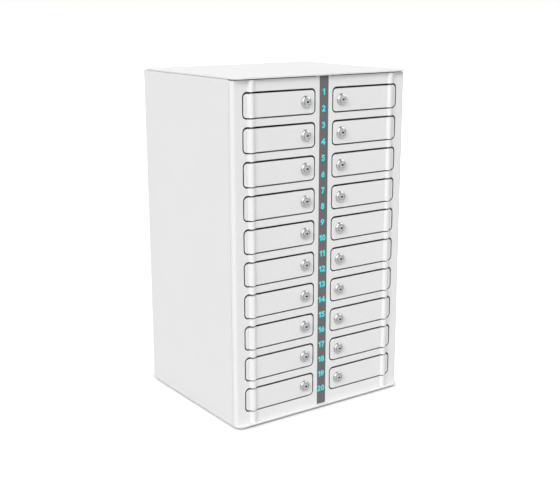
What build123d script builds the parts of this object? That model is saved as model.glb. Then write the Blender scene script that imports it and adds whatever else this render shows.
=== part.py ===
from build123d import *
from math import asin, cos, pi, sin
import os

# Cell phone locker: twenty small lockable doors, in two columns of ten, on a sheet steel cabinet
# that stands on four rubber feet. Millimetres, +Z up, the doors face -Y. The origin is on the
# floor, midway between the two sides and midway between the lock heads and the cabinet's back.
# The doors are closed and the locks open, with each cam turned clear of the rail above it.
# What repeats twenty times has plain faces: the doors' corners, their openings' corners and the
# hinge bead turn in straight steps, and the small round forms of a lock have a few flat sides.

os.makedirs("parts", exist_ok=True)

# --- doors and openings ---
rows = 10
row_pitch = 60.0
opening_width = 155.4
opening_height = 47.0
opening_radius = 9.0
door_gap = 2.0  # between the leaf and the sides and bottom of its opening
top_gap = 3.0  # above the leaf, which hangs a little low
leaf_thickness = 1.2
corner_steps = 4  # straight steps round a quarter turn

# --- cabinet ---
centre_stile = 19.0  # from the centre line to the openings
outer_stile = 21.1  # from the openings to the side of the cabinet
top_margin = 21.8  # from the top opening to the cover
bottom_margin = 21.9  # from the bottom opening to the base
body_depth = 320.0  # from the face of the doors to the back
frame_sheet = 1.0
panel_sheet = 1.2
shelf_sheet = 0.8
corner_radius = 9.0  # the cabinet's two front edges
edge_flat = 0.5  # between that rounding and the seam
frame_lap = 12.0  # the frame's edge that lies behind the side panel
panel_seam = 0.4
rear_flange = 16.0
fit_gap = 0.3  # between pieces that slide together when the cabinet is assembled

# --- cover and base ---
plate_height = 3.3
plate_overhang = 6.5
plate_corner = 15.0
foot_size = 20.0
foot_height = 4.0
foot_inset = 30.0

# --- number strip and the post behind it ---
strip_width = 19.7
strip_gap = 0.15
post_margin = 1.5  # the post stops this far short of the openings

# --- shelves ---
shelf_flange = 8.0
shelf_corner_steps = 2  # straight steps inside the cabinet's rounded front edge

# --- hinges ---
hinge_inset = 17.4  # from the outer edge of the opening to the hinge axis
bead_radius = 6.5
setback = 2.2  # the outer strip lies behind the doors' face, level with the hinge axis
rod_radius = 2.0
rod_clearance = 0.05
knuckle_half_width = 5.0
knuckle_chamfer = 2.0
knuckle_wall = 2.2  # behind the rod
keeper_width = 14.0
keeper_height = 11.0
keeper_sheet = 1.2

# --- locks ---
lock_sides = 12
lock_inset = 21.4  # from the inner edge of the opening to the lock
head_radius = 11.0
head_height = 6.5
head_chamfer = 4.0
nut_radius = 9.8
nut_height = 4.0
plug_radius = 5.5
plug_clearance = 0.05
key_slot_length = 6.0
key_slot_width = 1.6
key_slot_depth = 4.0
cam_sheet = 1.5
cam_width = 11.0
cam_heel = 6.5  # behind the lock's axis
cam_reach = 27.0  # in front of it, past the opening's edge when it is turned up
cam_bend_start = 10.6
cam_bend_end = 13.2
cam_bend = 3.0  # how far the cam is cranked towards the rail
cam_gap = 0.4  # between the cam and the nut

# --- wall fixings in the back ---
fixing_radius = 2.5
fixing_spacing = 280.0
fixing_drop = 60.0  # below the cover

# --- heights ---
base_bottom = foot_height
body_bottom = base_bottom + plate_height
body_height = bottom_margin + (rows - 1) * row_pitch + opening_height + top_margin
body_top = body_bottom + body_height
first_row = body_bottom + bottom_margin + opening_height / 2
row_heights = [first_row + row * row_pitch for row in range(rows)]
shelf_heights = [first_row + (row - 0.5) * row_pitch for row in range(rows + 1)]

# --- widths, measured from the centre line ---
half_width = centre_stile + opening_width + outer_stile
opening_x = centre_stile + opening_width / 2
hinge_x = centre_stile + opening_width - hinge_inset
lock_x = centre_stile + lock_inset
frame_inner = strip_width / 2 + strip_gap

# --- depths ---
front_y = -(body_depth - head_height) / 2
back_y = front_y + body_depth
hinge_y = front_y + setback
seam_y = hinge_y + corner_radius + edge_flat
panel_front = seam_y + panel_seam
lap_end = seam_y + frame_lap

# --- leaf ---
leaf_width = opening_width - 2 * door_gap
leaf_height = opening_height - door_gap - top_gap
leaf_drop = (top_gap - door_gap) / 2  # of the leaf's middle below its lock
leaf_radius = opening_radius - door_gap
leaf_inner = centre_stile + door_gap
leaf_outer = centre_stile + opening_width - door_gap
bead_meets_leaf = pi + asin(setback / bead_radius)  # where the bead rises from the doors' face
bead_inner = hinge_x + bead_radius * cos(bead_meets_leaf)
bead_outer = hinge_x + bead_radius
rod_hole = rod_radius + rod_clearance


def save(part, name):
    part.label = name
    export_step(part, f"parts/{name}.step")


def front_plane(distance=0.0):
    """The plane of the doors' face, or one that is this far in front of it."""
    return Plane.XZ.offset(distance - front_y)


def stepped_rectangle(width, height, radius):
    """The outline of a rectangle whose corners follow arcs of this radius in straight steps."""
    points = []
    for quarter, (x, y) in enumerate(((1, 1), (-1, 1), (-1, -1), (1, -1))):
        for step in range(corner_steps + 1):
            angle = pi / 2 * (quarter + step / corner_steps)
            points.append(
                (
                    x * (width / 2 - radius) + radius * cos(angle),
                    y * (height / 2 - radius) + radius * sin(angle),
                )
            )
    return points


def bead_outline(side):
    """The front of the hinge bead, about the hinge axis, from the doors' face to the strip."""
    steps = 2 * corner_steps
    turn = (2 * pi - bead_meets_leaf) / steps
    angles = [bead_meets_leaf + step * turn for step in range(steps + 1)]
    return [
        (side * (hinge_x + bead_radius * cos(angle)), hinge_y + bead_radius * sin(angle))
        for angle in angles
    ]


def front_frame(side):
    """Half of the pressed front: flat rails, a half-round bead over the hinge rod, the outer strip
    that is set back, and the rounded edge with the lap that goes behind the side panel."""
    lap_outer = half_width - panel_sheet
    lap_inner = lap_outer - frame_sheet
    bead_back = hinge_y + rod_hole
    strip_back = hinge_y + frame_sheet
    outer_corner = (side * half_width, hinge_y)
    inner_corner = (side * lap_inner, strip_back)
    with BuildPart() as frame:
        with BuildSketch(Plane.XY.offset(body_bottom)) as section:
            with BuildLine():
                Polyline(
                    (side * frame_inner, front_y),
                    *bead_outline(side),
                    outer_corner,
                    (side * half_width, seam_y),
                    (side * lap_outer, seam_y),
                    (side * lap_outer, lap_end),
                    (side * lap_inner, lap_end),
                    inner_corner,
                    (side * bead_outer, strip_back),
                    (side * bead_outer, bead_back),
                    (side * bead_inner, bead_back),
                    (side * bead_inner, front_y + frame_sheet),
                    (side * frame_inner, front_y + frame_sheet),
                    close=True,
                )
            make_face()
            # the slot that the hinge rod lies in
            slot_depth = 2 * rod_hole
            with Locations((side * hinge_x, bead_back - slot_depth / 2)):
                Rectangle(2 * rod_hole, slot_depth, mode=Mode.SUBTRACT)
            fillet(section.vertices().sort_by_distance(outer_corner)[0], corner_radius)
            inner_radius = corner_radius - frame_sheet
            fillet(section.vertices().sort_by_distance(inner_corner)[0], inner_radius)
        extrude(amount=body_height)
        with BuildSketch(front_plane()):
            with Locations([(side * opening_x, height) for height in row_heights]):
                Polygon(*stepped_rectangle(opening_width, opening_height, opening_radius))
        extrude(amount=lap_end - front_y, both=True, mode=Mode.SUBTRACT)
    return frame.part


def door(side, height):
    """One door: the leaf, its knuckle bored for the hinge rod under the half-round bead, the
    rebated edge beyond the hinge, and the lock's head and nut, clamped through the leaf."""
    with BuildPart() as leaf:
        with BuildSketch(Plane.XY.offset(height - leaf_drop - leaf_height / 2)):
            knuckle_back = hinge_y + rod_hole + knuckle_wall
            leaf_back = front_y + leaf_thickness
            rebate_back = hinge_y + leaf_thickness
            knuckle_inner = hinge_x - knuckle_half_width
            knuckle_outer = hinge_x + knuckle_half_width
            with BuildLine():
                Polyline(
                    (side * leaf_inner, front_y),
                    *bead_outline(side),
                    (side * leaf_outer, hinge_y),
                    (side * leaf_outer, rebate_back),
                    (side * knuckle_outer, rebate_back),
                    (side * knuckle_outer, knuckle_back - knuckle_chamfer),
                    (side * (knuckle_outer - knuckle_chamfer), knuckle_back),
                    (side * (knuckle_inner + knuckle_chamfer), knuckle_back),
                    (side * knuckle_inner, knuckle_back - knuckle_chamfer),
                    (side * knuckle_inner, leaf_back),
                    (side * leaf_inner, leaf_back),
                    close=True,
                )
            make_face()
            with Locations((side * hinge_x, hinge_y)):
                Rectangle(2 * rod_hole, 2 * rod_hole, mode=Mode.SUBTRACT)
        extrude(amount=leaf_height)
        with BuildSketch(front_plane()):
            with Locations((side * opening_x, height - leaf_drop)):
                Polygon(*stepped_rectangle(leaf_width, leaf_height, leaf_radius))
        extrude(amount=2 * bead_radius, both=True, mode=Mode.INTERSECT)
        with BuildSketch(front_plane()):
            with Locations((side * lock_x, height)):
                RegularPolygon(head_radius, lock_sides)
        extrude(amount=head_height)
        chamfer(leaf.faces().sort_by(Axis.Y)[0].edges(), head_chamfer)
        with BuildSketch(front_plane(-leaf_thickness)):
            with Locations((side * lock_x, height)):
                RegularPolygon(nut_radius, 6)
        extrude(amount=-nut_height)
        with BuildSketch(front_plane()):
            with Locations((side * lock_x, height)):
                RegularPolygon(plug_radius + plug_clearance, lock_sides, major_radius=False)
        extrude(amount=2 * head_height, both=True, mode=Mode.SUBTRACT)
    return leaf.part


def lock(side, height):
    """The part of a lock that the key turns: the plug, and the cranked cam on its inner end."""
    cam_front = front_y + leaf_thickness + nut_height + cam_gap
    cam_back = cam_front + cam_sheet
    with BuildPart() as plug:
        with BuildSketch(Plane.XY.offset(height)):
            with BuildLine():
                Polyline(
                    (side * (lock_x - cam_heel), cam_front),
                    (side * (lock_x + cam_bend_start), cam_front),
                    (side * (lock_x + cam_bend_end), cam_front - cam_bend),
                    (side * (lock_x + 2 * cam_reach), cam_front - cam_bend),
                    (side * (lock_x + 2 * cam_reach), cam_back - cam_bend),
                    (side * (lock_x + cam_bend_end), cam_back - cam_bend),
                    (side * (lock_x + cam_bend_start), cam_back),
                    (side * (lock_x - cam_heel), cam_back),
                    close=True,
                )
            make_face()
        extrude(amount=cam_width / 2, both=True)
        with BuildSketch(front_plane()):
            with Locations((side * lock_x, height)):
                Circle(cam_reach)
        extrude(amount=-(cam_back - front_y), mode=Mode.INTERSECT)
        with BuildSketch(front_plane(head_height)):
            with Locations((side * lock_x, height)):
                RegularPolygon(plug_radius, lock_sides)
        extrude(amount=-(cam_back - front_y + head_height))
        with BuildSketch(front_plane(head_height)):
            with Locations((side * lock_x, height)):
                Rectangle(key_slot_length, key_slot_width)
        extrude(amount=-key_slot_depth, mode=Mode.SUBTRACT)
    return plug.part


def side_panel(side):
    """A flat side, from the seam behind the rounded edge to the flange that the back lies on."""
    with BuildPart() as panel:
        with BuildSketch(Plane.XY.offset(body_bottom)):
            with BuildLine():
                Polyline(
                    (side * half_width, panel_front),
                    (side * half_width, back_y),
                    (side * (half_width - rear_flange), back_y),
                    (side * (half_width - rear_flange), back_y - panel_sheet),
                    (side * (half_width - panel_sheet), back_y - panel_sheet),
                    (side * (half_width - panel_sheet), panel_front),
                    close=True,
                )
            make_face()
        extrude(amount=body_height)
    return panel.part


def shelves(side):
    """The floors of one column's compartments and the ceiling of its top one. Each has a flange
    down each side. In front it passes the lap and follows the inside of the pressed front, with
    a notch for the plate that keeps the hinge rod."""
    inner = panel_sheet / 2
    outer = half_width - panel_sheet
    wide_front = lap_end + fit_gap
    shelf_back = back_y - 2 * panel_sheet
    post_back = front_y + frame_sheet + panel_sheet
    keeper_back = hinge_y + rod_hole + keeper_sheet
    notch_half = keeper_width / 2 + fit_gap
    turn_radius = corner_radius - frame_sheet - fit_gap
    turn = [
        (
            side * (outer - corner_radius + turn_radius * sin(angle)),
            hinge_y + corner_radius - turn_radius * cos(angle),
        )
        for angle in [pi / 2 * step / shelf_corner_steps for step in range(shelf_corner_steps + 1)]
    ]
    with BuildPart() as column:
        with BuildSketch(Plane.XZ.offset(-wide_front)):
            with BuildLine():
                Polyline(
                    (side * inner, -shelf_flange),
                    (side * inner, shelf_sheet),
                    (side * outer, shelf_sheet),
                    (side * outer, -shelf_flange),
                    (side * (outer - shelf_sheet), -shelf_flange),
                    (side * (outer - shelf_sheet), 0.0),
                    (side * (inner + shelf_sheet), 0.0),
                    (side * (inner + shelf_sheet), -shelf_flange),
                    close=True,
                )
            make_face()
        extrude(amount=wide_front - shelf_back)
        with BuildSketch(Plane.XY):
            with BuildLine():
                Polyline(
                    (side * inner, post_back + fit_gap),
                    (side * (hinge_x - notch_half), post_back + fit_gap),
                    (side * (hinge_x - notch_half), keeper_back + fit_gap),
                    (side * (hinge_x + notch_half), keeper_back + fit_gap),
                    (side * (hinge_x + notch_half), turn[0][1]),
                    *turn,
                    (turn[-1][0], wide_front),
                    (side * inner, wide_front),
                    close=True,
                )
            make_face()
        extrude(amount=shelf_sheet)
    copies = [Pos(0, 0, height) * column.part for height in shelf_heights]
    return Compound(children=[copy.solid() for copy in copies])


def hinge_rod(side):
    """The rod through all ten knuckles of one column. It stands on the base."""
    with BuildPart() as rod:
        with BuildSketch(Plane.XY.offset(body_bottom)):
            with Locations((side * hinge_x, hinge_y)):
                Circle(rod_radius)
        extrude(amount=body_height - fit_gap)
    return rod.part


def rod_keepers(side):
    """The plates that close the rod's slot, one behind each rail."""
    with BuildPart() as keepers:
        with BuildSketch(front_plane(-(setback + rod_hole))):
            with Locations([(side * hinge_x, height) for height in shelf_heights]):
                Rectangle(keeper_width, keeper_height)
        extrude(amount=-keeper_sheet)
    return keepers.part


def plate(bottom):
    """The cover or the base: flush with the sides and back, and overhanging in front."""
    with BuildPart() as flat:
        with BuildSketch(Plane.XY.offset(bottom)):
            with Locations((0, (front_y - plate_overhang + back_y) / 2)):
                RectangleRounded(2 * half_width, body_depth + plate_overhang, plate_corner)
        extrude(amount=plate_height)
    return flat.part


# --- the cabinet ---
save(plate(base_bottom), "base_plate")
save(plate(body_top), "top_cover")

with BuildPart() as rubber_feet:
    with BuildSketch():
        with Locations((0, (front_y + back_y) / 2)):
            with GridLocations(2 * (half_width - foot_inset), body_depth - 2 * foot_inset, 2, 2):
                Rectangle(foot_size, foot_size)
    extrude(amount=foot_height)
save(rubber_feet.part, "rubber_feet")

with BuildPart() as back_panel:
    with BuildSketch(Plane.XZ.offset(panel_sheet - back_y)):
        with Locations((0, body_bottom + body_height / 2)):
            Rectangle(2 * (half_width - panel_sheet - fit_gap), body_height)
        with Locations((0, body_top - fixing_drop)):
            with GridLocations(fixing_spacing, 0, 2, 1):
                Circle(fixing_radius, mode=Mode.SUBTRACT)
    extrude(amount=panel_sheet)
save(back_panel.part, "back_panel")

with BuildPart() as number_strip:
    with BuildSketch(front_plane()):
        with Locations((0, body_bottom + body_height / 2)):
            Rectangle(strip_width, body_height)
    extrude(amount=-frame_sheet)
save(number_strip.part, "number_strip")

with BuildPart() as centre_post:
    with BuildSketch(front_plane(-frame_sheet)):
        with Locations((0, body_bottom + body_height / 2)):
            Rectangle(2 * (centre_stile - post_margin), body_height)
    extrude(amount=-panel_sheet)
save(centre_post.part, "centre_post")

divider_front = front_y + frame_sheet + panel_sheet
divider_back = back_y - 2 * panel_sheet
with BuildPart() as centre_divider:
    with BuildSketch(Plane.XY.offset(body_bottom)):
        with Locations((0, (divider_front + divider_back) / 2)):
            Rectangle(panel_sheet, divider_back - divider_front)
    extrude(amount=body_height)
save(centre_divider.part, "centre_divider")

for name, side in (("left", -1), ("right", 1)):
    save(front_frame(side), f"front_frame_{name}")
    save(side_panel(side), f"side_panel_{name}")
    save(shelves(side), f"shelves_{name}")
    save(hinge_rod(side), f"hinge_rod_{name}")
    save(rod_keepers(side), f"rod_keepers_{name}")

# --- the doors and their locks, numbered down in pairs, odd on the left and even on the right ---
for row, height in enumerate(reversed(row_heights)):
    for column, side in enumerate((-1, 1)):
        number = 2 * row + column + 1
        save(door(side, height), f"door_{number:02d}")
        save(lock(side, height), f"lock_{number:02d}")
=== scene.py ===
from math import asin, cos, degrees, hypot, pi, radians, sin, sqrt

import bmesh
import bpy
from mathutils import Matrix, Vector


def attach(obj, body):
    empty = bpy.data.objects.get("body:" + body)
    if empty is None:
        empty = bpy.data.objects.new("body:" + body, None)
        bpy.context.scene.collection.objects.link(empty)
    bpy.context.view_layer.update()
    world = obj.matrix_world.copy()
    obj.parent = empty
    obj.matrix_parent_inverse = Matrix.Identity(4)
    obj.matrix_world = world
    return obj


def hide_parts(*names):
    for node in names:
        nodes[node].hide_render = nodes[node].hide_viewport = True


# Cell phone locker: a white powder-coated steel cabinet with twenty small doors in two columns,
# a chrome cam lock on each, and a grey strip of numbers between them. The lengths below are in
# millimetres, as in a workshop drawing, and MM turns them to the frame's metres.
MM = 0.001

# --- the cabinet's front and sides ---
DOOR_FACE = -156.75  # the plane of the doors' face, y
BACK_FACE = 163.25  # the plane of the back, y
HALF_WIDTH = 195.5
PRESSED_INNER = 10.0  # where the pressed front meets the number strip
PRESSED_BOTTOM = 7.3
PRESSED_HEIGHT = 630.7
FRONT_SHEET = 1.0
PANEL_SHEET = 1.2
EDGE_ROUNDING = 7.0  # the front's two outer edges
EDGE_FLAT = 2.5  # between that rounding and the seam
FRAME_LAP = 12.0  # the front's edge that goes behind the side
REAR_FLANGE = 16.0  # the side, folded in at the back
REAR_BEND = 2.0
PANEL_SEAM = 1.4  # between the front and the side
COVER_SEAM = 1.8  # the front stops this far below the cover, which leaves a line of shadow
SIDE_SEAM = 0.5  # and the side stops this far below it

# --- openings and leaves ---
ROWS = 10
ROW_PITCH = 60.0
LOWEST_ROW = 52.7
OPENING_CENTRE = 96.7
OPENING_WIDTH = 155.4
OPENING_HEIGHT = 47.0
OPENING_RADIUS = 9.0
DOOR_GAP = 2.5  # beside and below a leaf
TOP_GAP = 3.4  # above it
LEAF_SHEET = 1.2

# --- hinge bead ---
HINGE_X = 157.0
SETBACK = 2.2  # the outer strip lies this far behind the doors' face
BEAD_RADIUS = 6.5
BEAD_FILLET = 0.6  # the press rounds the two creases beside the bead
GROOVE_OFFSET = 0.3  # a leaf has a groove rolled in this far outside its bead
GROOVE_WIDTH = 1.4
GROOVE_DEPTH = 0.6
ROD_HOLE = 2.05
KNUCKLE_HALF_WIDTH = 5.0
KNUCKLE_DEPTH = 4.25

# --- cam lock ---
LOCK_X = 40.4
HEAD_RADIUS = 11.0
HEAD_HEIGHT = 6.5
COLLAR_RADIUS = 7.4  # the raised ring round the plug
COLLAR_FOOT = 4.3  # where the dome runs out against it
PLUG_RADIUS = 5.5
PLUG_FACE = 5.9  # the plug's face lies a little inside the head's lip
KEYWAY_LENGTH = 5.0
KEYWAY_WIDTH = 3.2
KEYWAY_DEPTH = 3.8
NUT_RADIUS = 9.8
NUT_HEIGHT = 4.0
BARREL_RADIUS = 7.4
CAM_GAP = 0.4  # between the nut and the cam
CAM_SHEET = 1.5
CAM_WIDTH = 11.0
CAM_HEEL = 6.5  # from the lock's axis to the cam's short end
CAM_HEEL_CORNER = 2.0
CAM_REACH = 27.0  # from the axis to its long end
CAM_BEND_START = 10.6
CAM_BEND_END = 13.2
CAM_BEND = 3.0  # how far the cam is cranked towards the rail
CAM_SCREW_RADIUS = 3.6
CAM_SCREW_HEIGHT = 2.2
SCREW_FLANGE = 1.2  # its washer stands out this far
SCREW_FLANGE_HEIGHT = 0.5
RECESS_LENGTH = 3.6  # of the cross in its head
RECESS_WIDTH = 0.7
RECESS_DEPTH = 1.3

# --- cover and base ---
PLATE_HEIGHT = 3.3
PLATE_OVERHANG = 6.5
PLATE_CORNER = 15.0
BASE_BOTTOM = 4.0
COVER_BOTTOM = 638.0

# --- numbers ---
NUMBER_HEIGHT = 11.8
NUMBER_STROKE = 2.8
NUMBER_GAP = 1.0  # between a number's two digits
NUMBER_PITCH = 30.0
FIRST_NUMBER = 608.8  # the height of its middle
NUMBER_SHIFT = -0.7  # the print sits a little left of the middle
INK_FLATNESS = 0.08  # a stroke is round in section, pressed flat to this share of its depth

# --- how far edges are rounded ---
SHEET_EDGE = 0.28
SIDE_EDGE = 0.25
PLATE_EDGE = 0.7
NUT_EDGE = 0.6
CAM_EDGE = 0.3

# --- how far the cutting blocks reach, well past the sheet that they cut ---
CUT_AHEAD = 20.0
CUT_BEHIND = 30.0
BORE_REACH = 40.0

HINGE_Y = DOOR_FACE + SETBACK
ROW_HEIGHTS = [LOWEST_ROW + ROW_PITCH * row for row in range(ROWS)]

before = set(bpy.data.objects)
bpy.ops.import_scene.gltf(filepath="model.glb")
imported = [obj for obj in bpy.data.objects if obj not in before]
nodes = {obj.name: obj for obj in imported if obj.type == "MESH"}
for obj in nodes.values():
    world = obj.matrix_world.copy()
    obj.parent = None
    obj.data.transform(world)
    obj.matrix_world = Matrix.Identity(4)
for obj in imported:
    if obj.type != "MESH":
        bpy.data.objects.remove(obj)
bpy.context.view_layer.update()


# ------------------------------------------------------------------ finishes


def linear(hex_colour):
    """An sRGB hex colour as the linear colour that a shader takes."""
    channels = [int(hex_colour[i : i + 2], 16) / 255 for i in (1, 3, 5)]
    return [
        c / 12.92 if c <= 0.04045 else ((c + 0.055) / 1.055) ** 2.4 for c in channels
    ] + [1.0]


# the sockets that a Mix node has for colours: two inputs, and the result
COLOUR_A, COLOUR_B, MIXED_COLOUR = 6, 7, 2


def add(tree, kind, settings=None, feeds=(), **links):
    """Adds one node, sets its inputs and properties, and links outputs into its other inputs:
    feeds into the first ones, in order, and links by name."""
    made = tree.nodes.new(kind)
    for name, value in (settings or {}).items():
        if isinstance(name, int) or name in made.inputs:
            made.inputs[name].default_value = value
        else:
            setattr(made, name, value)
    for socket, output in enumerate(feeds):
        tree.links.new(output, made.inputs[socket])
    for name, output in links.items():
        tree.links.new(output, made.inputs[name.replace("_", " ")])
    return made


def finish_tree(name):
    """A new material with a Principled shader: (material, its tree, the shader)."""
    material = bpy.data.materials.new(name)
    material.use_nodes = True
    return material, material.node_tree, material.node_tree.nodes["Principled BSDF"]


def per_metre(millimetres):
    """A texture's scale for features of this size."""
    return 1 / (millimetres * MM)


def powder_coated_steel(name, pale, deep, rough):
    """Polyester powder coat, baked on sheet steel: a satin skin with a faint orange peel."""
    material, tree, skin = finish_tree(name)
    where = add(tree, "ShaderNodeTexCoord").outputs["Object"]
    # the coat is a shade thicker here and there, over about a hand's width
    cloud = add(
        tree, "ShaderNodeTexNoise", {"Scale": per_metre(90), "Detail": 3.0}, Vector=where
    )
    tone = add(
        tree,
        "ShaderNodeMix",
        {"data_type": "RGBA", COLOUR_A: linear(pale), COLOUR_B: linear(deep)},
        Factor=cloud.outputs["Fac"],
    )
    tree.links.new(tone.outputs[MIXED_COLOUR], skin.inputs["Base Color"])
    # orange peel is 1 to 2 mm from crest to crest
    peel = add(
        tree, "ShaderNodeTexNoise", {"Scale": per_metre(1.6), "Detail": 2.0}, Vector=where
    )
    # a finer grain under it, drawn at 0.5 mm, coarser than the powder, so that it shows
    grain = add(
        tree, "ShaderNodeTexNoise", {"Scale": per_metre(0.5), "Detail": 1.0}, Vector=where
    )
    gloss = add(
        tree,
        "ShaderNodeMapRange",
        {"To Min": rough - 0.05, "To Max": rough + 0.06},
        Value=grain.outputs["Fac"],
    )
    tree.links.new(gloss.outputs["Result"], skin.inputs["Roughness"])
    peel_bump = add(
        tree,
        "ShaderNodeBump",
        {"Strength": 0.22, "Distance": 0.04 * MM},
        Height=peel.outputs["Fac"],
    )
    skin_bump = add(
        tree,
        "ShaderNodeBump",
        {"Strength": 0.12, "Distance": 0.01 * MM},
        Height=grain.outputs["Fac"],
        Normal=peel_bump.outputs["Normal"],
    )
    tree.links.new(skin_bump.outputs["Normal"], skin.inputs["Normal"])
    skin.inputs["IOR"].default_value = 1.5
    return material


def chromed_zinc():
    """Bright chrome on a zinc die casting: a near mirror with the casting's soft waviness."""
    material, tree, skin = finish_tree("chromed_zinc_casting")
    where = add(tree, "ShaderNodeTexCoord").outputs["Object"]
    # the casting waves over 5 mm, and handling leaves a fine haze
    wave = add(
        tree, "ShaderNodeTexNoise", {"Scale": per_metre(5), "Detail": 2.0}, Vector=where
    )
    wear = add(
        tree, "ShaderNodeTexNoise", {"Scale": per_metre(0.9), "Detail": 3.0}, Vector=where
    )
    haze = add(
        tree,
        "ShaderNodeMapRange",
        {"To Min": 0.08, "To Max": 0.15},
        Value=wear.outputs["Fac"],
    )
    tree.links.new(haze.outputs["Result"], skin.inputs["Roughness"])
    bump = add(
        tree,
        "ShaderNodeBump",
        {"Strength": 0.15, "Distance": 0.1 * MM},
        Height=wave.outputs["Fac"],
    )
    tree.links.new(bump.outputs["Normal"], skin.inputs["Normal"])
    skin.inputs["Base Color"].default_value = linear("#BCBDBE")
    skin.inputs["Metallic"].default_value = 1.0
    return material


def zinc_plated_steel(name, stretch, pale, deep):
    """Bright zinc plate on pressed or drawn steel: a soft sheen with fine drawing lines."""
    material, tree, skin = finish_tree(name)
    where = add(tree, "ShaderNodeTexCoord").outputs["Object"]
    along = add(tree, "ShaderNodeMapping", Vector=where)
    along.inputs["Scale"].default_value = stretch
    # drawing lines a fifth of a millimetre apart
    lines = add(
        tree,
        "ShaderNodeTexNoise",
        {"Scale": per_metre(0.2), "Detail": 2.0},
        Vector=along.outputs["Vector"],
    )
    # the plate's colour clouds over 4 mm
    bloom = add(
        tree, "ShaderNodeTexNoise", {"Scale": per_metre(4), "Detail": 3.0}, Vector=where
    )
    tone = add(
        tree,
        "ShaderNodeMix",
        {"data_type": "RGBA", COLOUR_A: linear(pale), COLOUR_B: linear(deep)},
        Factor=bloom.outputs["Fac"],
    )
    tree.links.new(tone.outputs[MIXED_COLOUR], skin.inputs["Base Color"])
    sheen = add(
        tree,
        "ShaderNodeMapRange",
        {"To Min": 0.24, "To Max": 0.42},
        Value=lines.outputs["Fac"],
    )
    tree.links.new(sheen.outputs["Result"], skin.inputs["Roughness"])
    bump = add(
        tree,
        "ShaderNodeBump",
        {"Strength": 0.2, "Distance": 0.02 * MM},
        Height=lines.outputs["Fac"],
    )
    tree.links.new(bump.outputs["Normal"], skin.inputs["Normal"])
    skin.inputs["Metallic"].default_value = 1.0
    return material


def matt_vinyl():
    """Calendered vinyl film, grey: dull, with a fine even grain."""
    material, tree, skin = finish_tree("matt_grey_vinyl")
    where = add(tree, "ShaderNodeTexCoord").outputs["Object"]
    cloud = add(
        tree, "ShaderNodeTexNoise", {"Scale": per_metre(40), "Detail": 2.0}, Vector=where
    )
    tone = add(
        tree,
        "ShaderNodeMix",
        {"data_type": "RGBA", COLOUR_A: linear("#606062"), COLOUR_B: linear("#666667")},
        Factor=cloud.outputs["Fac"],
    )
    tree.links.new(tone.outputs[MIXED_COLOUR], skin.inputs["Base Color"])
    # the film's grain, drawn at 0.4 mm so that it shows
    grain = add(
        tree, "ShaderNodeTexNoise", {"Scale": per_metre(0.4), "Detail": 1.0}, Vector=where
    )
    dull = add(
        tree,
        "ShaderNodeMapRange",
        {"To Min": 0.52, "To Max": 0.66},
        Value=grain.outputs["Fac"],
    )
    tree.links.new(dull.outputs["Result"], skin.inputs["Roughness"])
    bump = add(
        tree,
        "ShaderNodeBump",
        {"Strength": 0.15, "Distance": 0.02 * MM},
        Height=grain.outputs["Fac"],
    )
    tree.links.new(bump.outputs["Normal"], skin.inputs["Normal"])
    skin.inputs["IOR"].default_value = 1.53
    return material


def screen_ink():
    """Screen-printed solvent ink, bright cyan: a thin satin layer with a slight mesh texture."""
    material, tree, skin = finish_tree("cyan_screen_ink")
    where = add(tree, "ShaderNodeTexCoord").outputs["Object"]
    # the screen's threads leave marks 0.3 mm apart
    mesh = add(
        tree, "ShaderNodeTexNoise", {"Scale": per_metre(0.3), "Detail": 1.0}, Vector=where
    )
    tone = add(
        tree,
        "ShaderNodeMix",
        {"data_type": "RGBA", COLOUR_A: linear("#4FEFF6"), COLOUR_B: linear("#45E2EA")},
        Factor=mesh.outputs["Fac"],
    )
    tree.links.new(tone.outputs[MIXED_COLOUR], skin.inputs["Base Color"])
    bump = add(
        tree,
        "ShaderNodeBump",
        {"Strength": 0.1, "Distance": 0.01 * MM},
        Height=mesh.outputs["Fac"],
    )
    tree.links.new(bump.outputs["Normal"], skin.inputs["Normal"])
    skin.inputs["Roughness"].default_value = 0.45
    skin.inputs["IOR"].default_value = 1.5
    return material


def moulded_rubber():
    """Compression-moulded black rubber: dull, grey at the edge of the light."""
    material, tree, skin = finish_tree("moulded_black_rubber")
    where = add(tree, "ShaderNodeTexCoord").outputs["Object"]
    # dust in the pores, under 1 mm apart
    dust = add(
        tree, "ShaderNodeTexNoise", {"Scale": per_metre(0.8), "Detail": 3.0}, Vector=where
    )
    tone = add(
        tree,
        "ShaderNodeMix",
        {"data_type": "RGBA", COLOUR_A: linear("#1E1E1F"), COLOUR_B: linear("#2A2A2B")},
        Factor=dust.outputs["Fac"],
    )
    tree.links.new(tone.outputs[MIXED_COLOUR], skin.inputs["Base Color"])
    bump = add(
        tree,
        "ShaderNodeBump",
        {"Strength": 0.3, "Distance": 0.05 * MM},
        Height=dust.outputs["Fac"],
    )
    tree.links.new(bump.outputs["Normal"], skin.inputs["Normal"])
    skin.inputs["Roughness"].default_value = 0.8
    skin.inputs["IOR"].default_value = 1.52
    return material


def oiled_keyway():
    """The cut inside of the keyway: bare brass pins in oil, painted nearly black as painted shade
    of the deep slot.
    """
    material, tree, skin = finish_tree("keyway_painted_shade")
    where = add(tree, "ShaderNodeTexCoord").outputs["Object"]
    # oil stands in drops of about half a millimetre
    oil = add(
        tree, "ShaderNodeTexNoise", {"Scale": per_metre(0.6), "Detail": 2.0}, Vector=where
    )
    tone = add(
        tree,
        "ShaderNodeMix",
        {"data_type": "RGBA", COLOUR_A: linear("#100F0E"), COLOUR_B: linear("#1A1815")},
        Factor=oil.outputs["Fac"],
    )
    tree.links.new(tone.outputs[MIXED_COLOUR], skin.inputs["Base Color"])
    skin.inputs["Roughness"].default_value = 0.5
    return material


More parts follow.
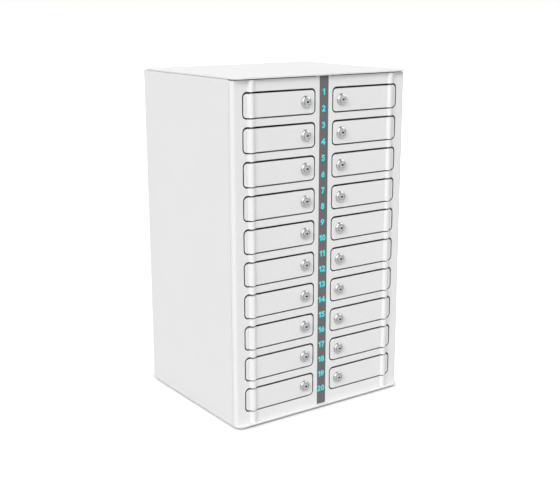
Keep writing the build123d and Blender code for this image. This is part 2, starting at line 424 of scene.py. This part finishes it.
white_coat = powder_coated_steel("white_powder_coated_steel", "#E9E9E9", "#E6E6E6", 0.42)
chrome = chromed_zinc()
plated_cam = zinc_plated_steel(
    "zinc_plated_pressed_steel", (1.0, 1.0, 0.1), "#C6C9CB", "#AEB2B6"
)
# the rod's zinc plate is painted darker than the cams': its own plate with painted shade, for the
# dark line where the rod shows in the gaps
rod_plate_painted_shade = zinc_plated_steel("drawn_steel_rod_painted_shade", (1.0, 1.0, 0.02), "#85888B", "#74777A")
grey_vinyl = matt_vinyl()
cyan_ink = screen_ink()
black_rubber = moulded_rubber()
keyway_shade_finish = oiled_keyway()


# ------------------------------------------------------------------ shaping


def arc(centre, radius, start, end, steps):
    """Points on an arc, angles in degrees."""
    turn = (end - start) / steps
    angles = [radians(start + turn * step) for step in range(steps + 1)]
    return [(centre[0] + radius * cos(a), centre[1] + radius * sin(a)) for a in angles]


def rounded_rectangle(width, height, radius, steps=10):
    """A closed outline about the origin."""
    outline = []
    for quarter, (x, y) in enumerate(((1, 1), (-1, 1), (-1, -1), (1, -1))):
        centre = (x * (width / 2 - radius), y * (height / 2 - radius))
        outline += arc(centre, radius, 90 * quarter, 90 * quarter + 90, steps)
    return outline


def prism(name, outline, start, end, axis="Z"):
    """A closed outline pushed straight from start to end. Along Z the outline is in x and y,
    and along Y it is in x and z."""

    def placed(x, other, along):
        point = (x, other, along) if axis == "Z" else (x, along, other)
        return Vector(point) * MM

    shape = bmesh.new()
    low = [shape.verts.new(placed(x, other, start)) for x, other in outline]
    high = [shape.verts.new(placed(x, other, end)) for x, other in outline]
    shape.faces.new(low)
    shape.faces.new(high)
    for i in range(len(low)):
        j = (i + 1) % len(low)
        shape.faces.new((low[i], low[j], high[j], high[i]))
    return mesh_object(name, shape)


def lathe(name, profile, steps=48):
    """A closed profile of (radius, distance in front of the door's face), turned about the
    lock's axis."""
    shape = bmesh.new()
    rings = []
    for radius, ahead in profile:
        if radius == 0:
            rings.append([shape.verts.new(Vector((0, -ahead, 0)) * MM)])
            continue
        angles = [2 * pi * step / steps for step in range(steps)]
        rings.append(
            [
                shape.verts.new(Vector((radius * cos(a), -ahead, radius * sin(a))) * MM)
                for a in angles
            ]
        )
    closed = profile[0][0] > 0
    pairs = list(zip(rings, rings[1:] + rings[:1] if closed else rings[1:]))
    for first, second in pairs:
        for i in range(steps):
            j = (i + 1) % steps
            corners = [first[i % len(first)], first[j % len(first)]]
            corners += [second[j % len(second)], second[i % len(second)]]
            shape.faces.new(list(dict.fromkeys(corners)))
    return mesh_object(name, shape)


def stand(name, data):
    """A new object in the scene, of this mesh, curve, lamp or camera."""
    made = bpy.data.objects.new(name, data)
    bpy.context.scene.collection.objects.link(made)
    return made


def mesh_object(name, shape):
    """A new object from a bmesh, with its faces turned outwards."""
    bmesh.ops.recalc_face_normals(shape, faces=shape.faces)
    mesh = bpy.data.meshes.new(name)
    shape.to_mesh(mesh)
    shape.free()
    return stand(name, mesh)


def settle(made):
    """The object's mesh with its modifiers applied. The object itself goes."""
    bpy.context.view_layer.update()
    graph = bpy.context.evaluated_depsgraph_get()
    mesh = bpy.data.meshes.new_from_object(made.evaluated_get(graph))
    mesh.name = made.name
    bpy.data.objects.remove(made)
    return mesh


def carve(made, cutter, operation="DIFFERENCE"):
    """Cuts one solid with another and returns the result."""
    cut = made.modifiers.new("cut", "BOOLEAN")
    cut.operation, cut.solver, cut.object = operation, "EXACT", cutter
    name = made.name
    mesh = settle(made)
    bpy.data.objects.remove(cutter)
    return stand(name, mesh)


def smooth(mesh, angle):
    """Shades a mesh smooth, apart from the edges that turn by more than this angle."""
    for face in mesh.polygons:
        face.use_smooth = True
    mesh.set_sharp_from_angle(angle=radians(angle))


def soften(made, width, steps=3, angle=50):
    """Gives a solid rounded edges where it turns by more than this angle, and flat faces that
    stay flat in the light."""
    for face in made.data.polygons:
        face.use_smooth = True
    edge = made.modifiers.new("edge", "BEVEL")
    edge.width, edge.segments = width * MM, steps
    edge.limit_method, edge.angle_limit = "ANGLE", radians(angle)
    edge.use_clamp_overlap = False
    shade = made.modifiers.new("shade", "WEIGHTED_NORMAL")
    shade.keep_sharp = True
    shade.weight = 100  # the largest face at an edge sets the normal there
    shade.thresh = MM * MM  # faces whose areas differ by less than this count alike
    return made


def both_hands(made, width, steps=3, angle=50):
    """The mesh of a right-hand solid and of its left-hand mirror, with their edges rounded."""
    shape = bmesh.new()
    shape.from_mesh(made.data)
    bmesh.ops.scale(shape, vec=(-1, 1, 1), verts=shape.verts)
    bmesh.ops.reverse_faces(shape, faces=shape.faces)
    left = mesh_object(made.name.replace("right", "left"), shape)
    return [settle(soften(hand, width, steps, angle)) for hand in (made, left)]


def place(name, mesh, finish, body, at=(0, 0, 0)):
    """Puts a mesh in the frame, in this finish unless it has its own, and lets it ride on a
    body."""
    if not mesh.materials:
        mesh.materials.append(finish)
    made = stand(name, mesh)
    made.location = Vector(at) * MM
    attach(made, body)
    return made


def joined(name, solids):
    """Several solids as one object."""
    shape = bmesh.new()
    for solid in solids:
        shape.from_mesh(solid.data)
        bpy.data.objects.remove(solid)
    return mesh_object(name, shape)


# ------------------------------------------------------------------ the pressed front


def bead_profile():
    """The pressed line across the hinge, from the doors' face to the strip that is set back:
    a fillet, the half-round bead over the rod, and a second fillet."""
    reach = BEAD_RADIUS + BEAD_FILLET
    inner = (HINGE_X - sqrt(reach**2 - (SETBACK + BEAD_FILLET) ** 2), DOOR_FACE - BEAD_FILLET)
    outer = (HINGE_X + sqrt(reach**2 - BEAD_FILLET**2), HINGE_Y - BEAD_FILLET)
    lean_in = degrees(asin((SETBACK + BEAD_FILLET) / reach))
    lean_out = degrees(asin(BEAD_FILLET / reach))
    return (
        arc(inner, BEAD_FILLET, 90, lean_in, 5)
        + arc((HINGE_X, HINGE_Y), BEAD_RADIUS, 180 + lean_in, 360 - lean_out, 26)[1:-1]
        + arc(outer, BEAD_FILLET, 180 - lean_out, 90, 5)
    )


def opening_cutters(width, height, radius, rows):
    """Rounded blocks that stand in the openings."""
    outline = rounded_rectangle(width, height, radius)
    blocks = []
    for z in rows:
        shifted = [(OPENING_CENTRE + x, z + y) for x, y in outline]
        block = prism("block", shifted, DOOR_FACE - CUT_AHEAD, DOOR_FACE + CUT_BEHIND, "Y")
        blocks.append(block)
    return joined("blocks", blocks)


def pressed_front():
    """The right half of the cabinet's front, and the left."""
    seam = HINGE_Y + EDGE_ROUNDING + EDGE_FLAT
    lap_outer = HALF_WIDTH - PANEL_SHEET
    lap_inner = lap_outer - FRONT_SHEET
    turn = (HALF_WIDTH - EDGE_ROUNDING, HINGE_Y + EDGE_ROUNDING)
    inner_turn = (lap_outer - EDGE_ROUNDING, HINGE_Y + EDGE_ROUNDING)
    bead_back = HINGE_Y + ROD_HOLE
    slot_floor = HINGE_Y - ROD_HOLE
    bead_inner = HINGE_X - BEAD_RADIUS
    section = (
        [(PRESSED_INNER, DOOR_FACE)]
        + bead_profile()
        + arc(turn, EDGE_ROUNDING, -90, 0, 12)
        + [(HALF_WIDTH, seam), (lap_outer, seam), (lap_outer, seam + FRAME_LAP)]
        + [(lap_inner, seam + FRAME_LAP)]
        + arc(inner_turn, EDGE_ROUNDING - FRONT_SHEET, 0, -90, 8)
        + [(HINGE_X + BEAD_RADIUS, HINGE_Y + FRONT_SHEET), (HINGE_X + BEAD_RADIUS, bead_back)]
        + [(HINGE_X + ROD_HOLE, bead_back), (HINGE_X + ROD_HOLE, slot_floor)]
        + [(HINGE_X - ROD_HOLE, slot_floor), (HINGE_X - ROD_HOLE, bead_back)]
        + [(bead_inner, bead_back), (bead_inner, DOOR_FACE + FRONT_SHEET)]
        + [(PRESSED_INNER, DOOR_FACE + FRONT_SHEET)]
    )
    top = PRESSED_BOTTOM + PRESSED_HEIGHT - COVER_SEAM
    sheet = prism("front_frame_right_pressed", section, PRESSED_BOTTOM, top)
    cutters = opening_cutters(OPENING_WIDTH, OPENING_HEIGHT, OPENING_RADIUS, ROW_HEIGHTS)
    return both_hands(carve(sheet, cutters), SHEET_EDGE)


for side, mesh in zip(("right", "left"), pressed_front()):
    pressed = place(f"pressed_front_{side}", mesh, white_coat, "cabinet")
    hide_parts(f"front_frame_{side}")


# ------------------------------------------------------------------ cover, base and sides


def rounded_plate(name, bottom):
    """The cover or the base: sheet folded over, with softly broken edges."""
    depth = BACK_FACE - DOOR_FACE + PLATE_OVERHANG
    outline = rounded_rectangle(2 * HALF_WIDTH, depth, PLATE_CORNER, 14)
    middle = BACK_FACE - depth / 2
    outline = [(x, middle + y) for x, y in outline]
    return settle(soften(prism(name, outline, bottom, bottom + PLATE_HEIGHT), PLATE_EDGE))


for name, bottom in (("base_plate", BASE_BOTTOM), ("top_cover", COVER_BOTTOM)):
    plate = place(
        f"{name}_rounded", rounded_plate(name, bottom), white_coat, "cabinet"
    )
    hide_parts(name)


def side_sheet():
    """The two sides: flat from the seam to the back, and folded in behind."""
    front = HINGE_Y + EDGE_ROUNDING + EDGE_FLAT + PANEL_SEAM
    bend = (HALF_WIDTH - REAR_BEND, BACK_FACE - REAR_BEND)
    section = (
        [(HALF_WIDTH, front)]
        + arc(bend, REAR_BEND, 0, 90, 6)
        + [(HALF_WIDTH - REAR_FLANGE, BACK_FACE)]
        + [(HALF_WIDTH - REAR_FLANGE, BACK_FACE - PANEL_SHEET)]
        + arc(bend, REAR_BEND - PANEL_SHEET, 90, 0, 4)
        + [(HALF_WIDTH - PANEL_SHEET, front)]
    )
    top = PRESSED_BOTTOM + PRESSED_HEIGHT - SIDE_SEAM
    sheet = prism("side_panel_right_folded", section, PRESSED_BOTTOM, top)
    return both_hands(sheet, SIDE_EDGE)


for side, mesh in zip(("right", "left"), side_sheet()):
    folded = place(f"folded_side_{side}", mesh, white_coat, "cabinet")
    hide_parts(f"side_panel_{side}")


# ------------------------------------------------------------------ the doors


def door_leaf():
    """A leaf for each hand, about its own row: pressed sheet, a bead that is the hinge's knuckle,
    bored for the rod, and the grooved strip beyond it."""
    inner = OPENING_CENTRE - OPENING_WIDTH / 2 + DOOR_GAP
    outer = OPENING_CENTRE + OPENING_WIDTH / 2 - DOOR_GAP
    strip_back = HINGE_Y + LEAF_SHEET
    leaf_back = DOOR_FACE + LEAF_SHEET
    half_height = OPENING_HEIGHT / 2
    knuckle = [
        (HINGE_X + KNUCKLE_HALF_WIDTH * x, HINGE_Y + KNUCKLE_DEPTH * y)
        for x, y in arc((0, 0), 1, 30, 150, 12)
    ]
    bead = bead_profile()
    groove_edge = bead[-1][0] + GROOVE_OFFSET
    groove = [
        (groove_edge + GROOVE_WIDTH * x, HINGE_Y + GROOVE_DEPTH * y)
        for x, y in ((0, 0), (0.2, 1), (0.8, 1), (1, 0))
    ]
    section = (
        [(inner, DOOR_FACE)]
        + bead
        + groove
        + [(outer, HINGE_Y), (outer, strip_back)]
        + [(HINGE_X + KNUCKLE_HALF_WIDTH, strip_back)]
        + knuckle
        + [(HINGE_X - KNUCKLE_HALF_WIDTH, strip_back), (HINGE_X - KNUCKLE_HALF_WIDTH, leaf_back)]
        + [(inner, leaf_back)]
    )
    sheet = prism("door_leaf_right", section, -half_height, half_height)
    block = opening_cutters(
        OPENING_WIDTH - 2 * DOOR_GAP,
        OPENING_HEIGHT - DOOR_GAP - TOP_GAP,
        OPENING_RADIUS - DOOR_GAP,
        [(DOOR_GAP - TOP_GAP) / 2],
    )
    bore = arc((HINGE_X, HINGE_Y), ROD_HOLE, 0, 345, 23)
    rod = prism("rod", bore, -BORE_REACH, BORE_REACH)
    return both_hands(carve(carve(sheet, block, "INTERSECT"), rod), SHEET_EDGE)


leaf_right, leaf_left = door_leaf()


# ------------------------------------------------------------------ the cam locks


def lock_head():
    """The fixed head: a low rim, a full dome, and a raised collar round the plug."""
    bore = PLUG_RADIUS + 0.05
    rim = 1.1
    step = 0.35  # from the rim in to the dome, and from the dome in to the collar
    shoulder = HEAD_RADIUS - step
    rise = COLLAR_FOOT - rim
    run = shoulder - COLLAR_RADIUS - step
    dome = [(shoulder - run * (1 - x), rim + rise * y) for x, y in arc((0, 0), 1, 0, 90, 12)]
    profile = (
        [(bore, 0), (HEAD_RADIUS, 0), (HEAD_RADIUS, 0.7)]
        + [(HEAD_RADIUS - 0.12, 0.95), (HEAD_RADIUS - 0.3, 1.05)]
        + dome
        + [(COLLAR_RADIUS, COLLAR_FOOT - 0.15), (COLLAR_RADIUS, HEAD_HEIGHT - 0.6)]
        + [(COLLAR_RADIUS - 0.2, HEAD_HEIGHT - 0.18), (COLLAR_RADIUS - 0.6, HEAD_HEIGHT)]
        + [(PLUG_RADIUS + 0.7, HEAD_HEIGHT), (PLUG_RADIUS + 0.4, HEAD_HEIGHT - 0.15)]
        + [(PLUG_RADIUS + 0.25, HEAD_HEIGHT - 0.5), (bore, PLUG_FACE - 0.9)]
    )
    head = lathe("lock_head", profile)
    smooth(head.data, 38)
    return settle(head)


def lock_nut():
    """The hexagon nut behind the leaf, and the end of the threaded barrel in it."""
    start = -LEAF_SHEET
    end = start - NUT_HEIGHT
    hexagon = arc((0, 0), NUT_RADIUS, 0, 300, 5)
    nut = stand("nut", settle(soften(prism("nut", hexagon, -start, -end, "Y"), NUT_EDGE, 2)))
    bore = PLUG_RADIUS + 0.3
    barrel = lathe(
        "barrel",
        [(bore, start), (BARREL_RADIUS, start), (BARREL_RADIUS, end - 0.1)]
        + [(BARREL_RADIUS - 0.6, end - 0.3), (bore, end - 0.3)],
    )
    return settle(joined("lock_nut", [nut, barrel]))


def plug():
    """The part that the key turns, with its keyway across the face."""
    tail = -LEAF_SHEET - NUT_HEIGHT - CAM_GAP
    body = lathe(
        "lock_plug",
        [(0, PLUG_FACE), (PLUG_RADIUS - 0.5, PLUG_FACE), (PLUG_RADIUS - 0.15, PLUG_FACE - 0.15)]
        + [(PLUG_RADIUS, PLUG_FACE - 0.5), (PLUG_RADIUS, tail), (0, tail)],
    )
    keyway = prism(
        "keyway",
        rounded_rectangle(KEYWAY_LENGTH, KEYWAY_WIDTH, 0.5, 4),
        -PLUG_FACE - 1,
        -PLUG_FACE + KEYWAY_DEPTH,
        "Y",
    )
    mesh = settle(carve(body, keyway))
    mesh.materials.clear()
    mesh.materials.append(chrome)
    mesh.materials.append(keyway_shade_finish)
    # the faces inside the keyway take the second finish, painted nearly black as painted shade of
    # the slot
    for face in mesh.polygons:
        x, y, z = face.center / MM
        beside = abs(x) > KEYWAY_LENGTH / 2 + 0.01 or abs(z) > KEYWAY_WIDTH / 2 + 0.01
        inside = -PLUG_FACE + 0.1 < y <= -PLUG_FACE + KEYWAY_DEPTH + 0.01
        if inside and not beside:
            face.material_index = 1
    smooth(mesh, 35)
    return mesh


def cam():
    """The cranked arm for each hand, turned clear: pressed strip with a round tip."""
    front = LEAF_SHEET + NUT_HEIGHT + CAM_GAP
    back = front + CAM_SHEET
    # the strip is this much longer than the cam, and its cutter starts this far ahead of the
    # door's face
    margin = 5
    past_tip = CAM_REACH + margin
    section = [
        (-CAM_HEEL, front),
        (CAM_BEND_START, front),
        (CAM_BEND_END, front - CAM_BEND),
        (past_tip, front - CAM_BEND),
        (past_tip, back - CAM_BEND),
        (CAM_BEND_END, back - CAM_BEND),
        (CAM_BEND_START, back),
        (-CAM_HEEL, back),
    ]
    half_width = CAM_WIDTH / 2
    strip = prism("lock_cam_right", section, -half_width, half_width)
    half_tip = degrees(asin(half_width / CAM_REACH))
    tip = arc((0, 0), CAM_REACH, -half_tip, half_tip, 10)
    heel = [(-CAM_HEEL, half_width - CAM_HEEL_CORNER), (-CAM_HEEL + CAM_HEEL_CORNER, half_width)]
    outline = tip + [(x, z) for x, z in reversed(heel)] + [(x, -z) for x, z in heel]
    edge = prism("edge", outline, -margin, CUT_BEHIND, "Y")
    return both_hands(carve(strip, edge, "INTERSECT"), CAM_EDGE, 2, 40)


def cam_screw():
    """The pan-head screw that holds the cam on the plug, with its cross recess."""
    start = -(LEAF_SHEET + NUT_HEIGHT + CAM_GAP + CAM_SHEET)
    end = start - CAM_SCREW_HEIGHT
    flange = CAM_SCREW_RADIUS + SCREW_FLANGE
    flange_end = start - SCREW_FLANGE_HEIGHT
    head = lathe(
        "cam_screw",
        [(0, start), (flange, start), (flange, flange_end), (CAM_SCREW_RADIUS, flange_end)]
        + [(CAM_SCREW_RADIUS, end + 0.9), (CAM_SCREW_RADIUS - 0.4, end + 0.35)]
        + [(CAM_SCREW_RADIUS - 1.2, end), (0, end)],
        32,
    )
    # the second bar ends 0.1 mm off the first, so that no two faces of the cut share a plane
    for shift, bar in (
        (0.0, (RECESS_LENGTH, RECESS_WIDTH)),
        (0.1, (RECESS_WIDTH, RECESS_LENGTH)),
    ):
        outline = rounded_rectangle(*bar, 0.1, 1)
        cross = prism("bar", outline, -end - RECESS_DEPTH + shift, -end + 1 + shift, "Y")
        head = carve(head, cross)
    smooth(head.data, 35)
    return settle(head)


head_mesh = lock_head()
nut_mesh = lock_nut()
plug_mesh = plug()
cam_right, cam_left = cam()
screw_mesh = cam_screw()

hands = ((-1, leaf_left, cam_left), (1, leaf_right, cam_right))
for row, height in enumerate(reversed(ROW_HEIGHTS)):
    for column, (side, leaf_mesh, cam_mesh) in enumerate(hands):
        number = f"{2 * row + column + 1:02d}"
        door, lock = f"door_{number}", f"lock_{number}"
        at = (0, 0, height)
        leaf = place(f"leaf_{number}", leaf_mesh, white_coat, door, at)
        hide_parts(door)
        axis = (side * LOCK_X, DOOR_FACE, height)
        place(f"lock_head_{number}", head_mesh, chrome, door, axis)
        place(f"lock_nut_{number}", nut_mesh, plated_cam, door, axis)
        core = place(f"lock_plug_{number}", plug_mesh, chrome, lock, axis)
        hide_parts(lock)
        place(f"lock_cam_{number}", cam_mesh, plated_cam, lock, axis)
        place(f"cam_screw_{number}", screw_mesh, plated_cam, lock, axis)


# ------------------------------------------------------------------ the numbers

# each digit as the strokes of a square-ended pen, whose middle runs in a box 0.58 wide and 1 high
DIGIT_WIDTH = 0.58
ONE_WIDTH = 0.32
FOUR_WIDTH = 0.80
MID = DIGIT_WIDTH / 2
END = 0.14  # how far a stroke runs past the middle of the one that it meets or ends on


def bow(cx, cy, rx, ry, start, end, steps=12):
    """Part of an ellipse as a stroke."""
    return [(cx + rx * x, cy + ry * y) for x, y in arc((0, 0), 1, start, end, steps)]


DIGITS = {
    "0": [bow(MID, 0.5, MID, 0.5, 90, 450, 32)],
    "1": [[(ONE_WIDTH, 1.0 + END), (ONE_WIDTH, -END)], [(-0.08, 0.72), (ONE_WIDTH, 1.0)]],
    "2": [
        bow(MID, 0.70, MID, 0.30, 172, -38, 14) + [(0.02, 0.0)],
        [(0.02 - END, 0.0), (DIGIT_WIDTH + END, 0.0)],
    ],
    "3": [
        bow(MID, 0.74, 0.27, 0.26, 168, -90, 14) + [(MID - 0.1, 0.48)],
        [(MID - 0.1, 0.52)] + bow(MID, 0.26, MID, 0.26, 90, -168, 14),
    ],
    "4": [
        [(0.60, 1.0 + END), (0.60, -END)],
        [(0.60, 1.0), (0.0, 0.28)],
        [(-END, 0.28), (FOUR_WIDTH + END, 0.28)],
    ],
    "5": [
        [(0.56 + END, 1.0), (0.08, 1.0)],
        [(0.10, 1.0 + END), (0.06, 0.52)],
        [(0.06, 0.58)] + bow(MID - 0.02, 0.32, MID + 0.02, 0.32, 112, -160, 16),
    ],
    "6": [[(0.49, 1.07)] + bow(MID, 0.31, MID, 0.31, 160, 520, 28)],
    "7": [
        [(-END, 1.0), (DIGIT_WIDTH + END, 1.0)],
        [(DIGIT_WIDTH, 1.0), (0.20 - 0.4 * END, -END)],
    ],
    "8": [
        bow(MID, 0.76, 0.25, 0.24, 0, 360, 24),
        bow(MID, 0.27, MID, 0.27, 0, 360, 24),
    ],
    "9": [[(0.10, -0.08)] + bow(MID, 0.69, MID, 0.31, -20, 340, 28)],
}


def number_mesh(text):
    """A number as one thin raised layer of ink, centred on the origin."""
    height = NUMBER_HEIGHT - NUMBER_STROKE
    widths = [{"1": ONE_WIDTH, "4": FOUR_WIDTH}.get(digit, DIGIT_WIDTH) for digit in text]
    advances = [width * height + NUMBER_STROKE + NUMBER_GAP for width in widths]
    left = -(sum(advances) - NUMBER_GAP) / 2
    pen = bpy.data.curves.new(f"number_{text}", "CURVE")
    pen.dimensions = "3D"
    pen.bevel_depth = NUMBER_STROKE / 2 * MM
    pen.bevel_resolution = 3
    pen.use_fill_caps = True
    for digit, advance in zip(text, advances):
        for stroke in DIGITS[digit]:
            line = pen.splines.new("POLY")
            closed = hypot(stroke[0][0] - stroke[-1][0], stroke[0][1] - stroke[-1][1]) < 1e-6
            points = stroke[:-1] if closed else stroke
            line.points.add(len(points) - 1)
            for point, (x, z) in zip(line.points, points):
                across = left + NUMBER_STROKE / 2 + x * height
                up = (z - 0.5) * height
                point.co = (*(Vector((across, 0, up)) * MM), 1)
            line.use_cyclic_u = closed
        left += advance
    mesh = settle(stand(f"number_{text}", pen))
    mesh.transform(Matrix.Diagonal((1, INK_FLATNESS, 1, 1)))
    return mesh


for number in range(1, 2 * ROWS + 1):
    at = (NUMBER_SHIFT, DOOR_FACE, FIRST_NUMBER - NUMBER_PITCH * (number - 1))
    ink = number_mesh(str(number))
    place(f"number_{number:02d}", ink, cyan_ink, "cabinet", at)


# ------------------------------------------------------------------ finishes of the plain pieces

PLAIN_FINISHES = {
    "back_panel": white_coat,
    "centre_post": white_coat,
    "centre_divider": white_coat,
    "shelves_left": white_coat,
    "shelves_right": white_coat,
    "number_strip": grey_vinyl,
    "rubber_feet": black_rubber,
    "hinge_rod_left": rod_plate_painted_shade,
    "hinge_rod_right": rod_plate_painted_shade,
    "rod_keepers_left": plated_cam,
    "rod_keepers_right": plated_cam,
}
for name, finish in PLAIN_FINISHES.items():
    mesh = nodes[name].data
    mesh.materials.clear()
    mesh.materials.append(finish)


# ------------------------------------------------------------------ floor, light and camera

# the studio's own lengths are in metres
FLOOR_REACH = 30.0
CONTACT_INSET = 8 * MM  # at the sides the line of shadow starts this far under the cabinet
CONTACT_NARROWING = 4.0  # and it is this much narrower there than in front
NEAR, FAR = 0.06, 3.0  # the floor's glow grows to NEAR_GLOW at the first distance, and
NEAR_GLOW, FAR_GLOW = 0.4, 0.5  # by FAR_GLOW more from there to the second
ROOM_LIGHT = 0.54  # the strength of the light from all sides
LIT_POINT = Vector((0, -0.15, 0.35))
LAMP_DISTANCE = 6.0  # where a lamp stands, which its light doesn't depend on
LAMP_ANGLE = 28
PROUD = 0.4 * MM  # what stands this far in front of the doors mirrors the cards


def paper_floor():
    """White paper to the eye and in the chrome, and a greyer one to the light that it throws
    back. It glows to the eye alone, so that it is dark in the contact shadow, and stays white
    where the wide shadow thins out and where the lamps fall off."""
    shape = bmesh.new()
    bmesh.ops.create_grid(shape, x_segments=2, y_segments=2, size=FLOOR_REACH)
    floor = mesh_object("floor", shape)
    paper, tree, skin = finish_tree("white_paper_floor")
    skin.inputs["Roughness"].default_value = 0.9
    seen = add(tree, "ShaderNodeLightPath").outputs
    eye = seen["Is Camera Ray"]
    direct = add(tree, "ShaderNodeMath", {"operation": "MAXIMUM"}, (eye, seen["Is Glossy Ray"]))
    white = add(
        tree,
        "ShaderNodeMix",
        {"data_type": "RGBA", COLOUR_A: linear("#B8B8B8"), COLOUR_B: linear("#F8F8F8")},
        Factor=direct.outputs[0],
    )
    tree.links.new(white.outputs[MIXED_COLOUR], skin.inputs["Base Color"])
    # how far a point of the floor lies outside the cabinet's footprint, whatever its height
    footprint = (HALF_WIDTH * MM - CONTACT_INSET, BACK_FACE * MM, 1.0)
    away = add(tree, "ShaderNodeNewGeometry").outputs["Position"]
    for step in (
        {"operation": "ABSOLUTE"},
        {"operation": "SUBTRACT", 1: footprint},
        {"operation": "MAXIMUM", 1: (0, 0, 0)},
        {"operation": "MULTIPLY", 1: (CONTACT_NARROWING, 1, 1)},
    ):
        away = add(tree, "ShaderNodeVectorMath", step, (away,)).outputs["Vector"]
    length = add(tree, "ShaderNodeVectorMath", {"operation": "LENGTH"}, (away,))
    distance = length.outputs["Value"]
    near = add(
        tree,
        "ShaderNodeMapRange",
        {"From Min": 0.0, "From Max": NEAR, "To Min": 0.0, "To Max": NEAR_GLOW},
        Value=distance,
    )
    far = add(
        tree,
        "ShaderNodeMapRange",
        {"From Min": NEAR, "From Max": FAR, "To Min": 0.0, "To Max": FAR_GLOW},
        Value=distance,
    )
    parts = (near.outputs[0], far.outputs[0])
    growing = add(tree, "ShaderNodeMath", {"operation": "ADD"}, parts)
    lift = add(tree, "ShaderNodeMath", {"operation": "MULTIPLY"}, (eye, growing.outputs[0]))
    glow = add(tree, "ShaderNodeEmission", Strength=lift.outputs[0])
    both = add(tree, "ShaderNodeAddShader", None, (skin.outputs[0], glow.outputs[0]))
    tree.links.new(both.outputs[0], tree.nodes["Material Output"].inputs["Surface"])
    floor.data.materials.append(paper)


def white_room():
    """Soft light from all sides, and plain white to the eye, in the chrome and through glass."""
    world = bpy.data.worlds.new("studio")
    bpy.context.scene.world = world
    world.use_nodes = True
    tree = world.node_tree
    tree.nodes.clear()
    seen = add(tree, "ShaderNodeLightPath").outputs
    shown = seen["Is Camera Ray"]
    for ray in ("Is Glossy Ray", "Is Transmission Ray"):
        shown = add(tree, "ShaderNodeMath", {"operation": "MAXIMUM"}, (shown, seen[ray])).outputs[0]
    white = linear("#FFFFFF")
    soft = add(tree, "ShaderNodeBackground", {"Color": white, "Strength": ROOM_LIGHT})
    plain = add(tree, "ShaderNodeBackground", {"Color": white, "Strength": 1.0})
    choice = add(
        tree, "ShaderNodeMixShader", None, (shown, soft.outputs[0], plain.outputs[0])
    )
    add(tree, "ShaderNodeOutputWorld", Surface=choice.outputs[0])


def aimed(made, direction, distance):
    """Stands a lamp or a card off from the lit point, in this direction, and faces it back."""
    away = Vector(direction).normalized()
    made.location = LIT_POINT + away * distance
    made.rotation_euler = (-away).to_track_quat("-Z", "Y").to_euler()


def wide_lamp(name, direction, strength):
    """A wide soft lamp that lights the top and the foot of the cabinet alike. The chrome sees
    the cards in its place."""
    lamp = bpy.data.lights.new(name, "SUN")
    lamp.energy, lamp.angle = strength, radians(LAMP_ANGLE)
    made = stand(name, lamp)
    aimed(made, direction, LAMP_DISTANCE)
    made.visible_glossy = False


def card(name, direction, distance, size, glow, reach):
    """A card for the bright forms to mirror: a white one glows, and a black one has no glow.
    It is seen only by what stands proud of the doors, below the cover, which would shine it
    back too, and within reach, in millimetres, to either side of the middle."""
    shape = bmesh.new()
    bmesh.ops.create_grid(shape, x_segments=1, y_segments=1, size=size / 2)
    made = mesh_object(name, shape)
    aimed(made, direction, distance)
    made.visible_camera = made.visible_diffuse = False
    made.visible_transmission = made.visible_shadow = False
    surface, tree, skin = finish_tree(name)
    skin.inputs["Base Color"].default_value = linear("#202020")
    skin.inputs["Roughness"].default_value = 1.0
    skin.inputs["Emission Color"].default_value = linear("#FFFFFF")
    skin.inputs["Emission Strength"].default_value = glow
    # where the ray comes from
    hit = add(tree, "ShaderNodeNewGeometry").outputs
    way_back = add(
        tree,
        "ShaderNodeVectorMath",
        {"operation": "SCALE"},
        Vector=hit["Incoming"],
        Scale=add(tree, "ShaderNodeLightPath").outputs["Ray Length"],
    )
    parts = (hit["Position"], way_back.outputs["Vector"])
    origin = add(tree, "ShaderNodeVectorMath", {"operation": "ADD"}, parts)
    place_of = add(tree, "ShaderNodeSeparateXYZ", Vector=origin.outputs["Vector"]).outputs
    proud = {"operation": "LESS_THAN", 1: DOOR_FACE * MM - PROUD}
    below = {"operation": "LESS_THAN", 1: COVER_BOTTOM * MM}
    beside = {"operation": "COMPARE", 1: 0.0, 2: reach * MM}
    sees_it = add(tree, "ShaderNodeMath", proud, (place_of["Y"],)).outputs[0]
    for test, axis in ((below, "Z"), (beside, "X")):
        passes = add(tree, "ShaderNodeMath", test, (place_of[axis],)).outputs[0]
        together = add(tree, "ShaderNodeMath", {"operation": "MULTIPLY"}, (sees_it, passes))
        sees_it = together.outputs[0]
    clear = add(tree, "ShaderNodeBsdfTransparent")
    choice = add(
        tree, "ShaderNodeMixShader", None, (sees_it, clear.outputs[0], skin.outputs[0])
    )
    tree.links.new(choice.outputs[0], tree.nodes["Material Output"].inputs["Surface"])
    made.data.materials.append(surface)


paper_floor()
white_room()
wide_lamp("left_lamp", (-2.4, -1.2, 1.3), 1.68)
wide_lamp("right_lamp", (2.2, -1.2, 1.3), 0.22)
wide_lamp("overhead_lamp", (-0.1, -1.75, 2.2), 0.90)
wide_lamp("back_lamp", (0.5, 2.4, 0.6), 0.50)
card("left_card", (-0.62, -0.5, 0.66), 3.0, 3.7, 3.1, HALF_WIDTH)
card("right_card", (0.72, -0.42, 0.56), 3.0, 2.0, 3.2, LOCK_X + 2 * HEAD_RADIUS)
card("dark_cloth", (0.25, -0.3, 0.92), 2.9, 1.9, 0.0, HALF_WIDTH)

CAMERA_AT = (-1.0927, -1.57235, 0.7637)
CAMERA_YAW = 0.6167
CAMERA_PITCH = 0.2579
CAMERA_LENS = 63.2
CAMERA_SHIFT = (-0.0066, 0.0397)
view = bpy.data.cameras.new("view")
view.sensor_width = 36.0
view.lens = CAMERA_LENS
view.shift_x, view.shift_y = CAMERA_SHIFT
view.clip_start, view.clip_end = 0.01, 100.0
camera = stand("view", view)
camera.location = CAMERA_AT
camera.rotation_euler = (pi / 2 - CAMERA_PITCH, 0, -CAMERA_YAW)
bpy.context.scene.camera = camera
bpy.context.scene.view_settings.view_transform = "Standard"

bpy.context.view_layer.update()
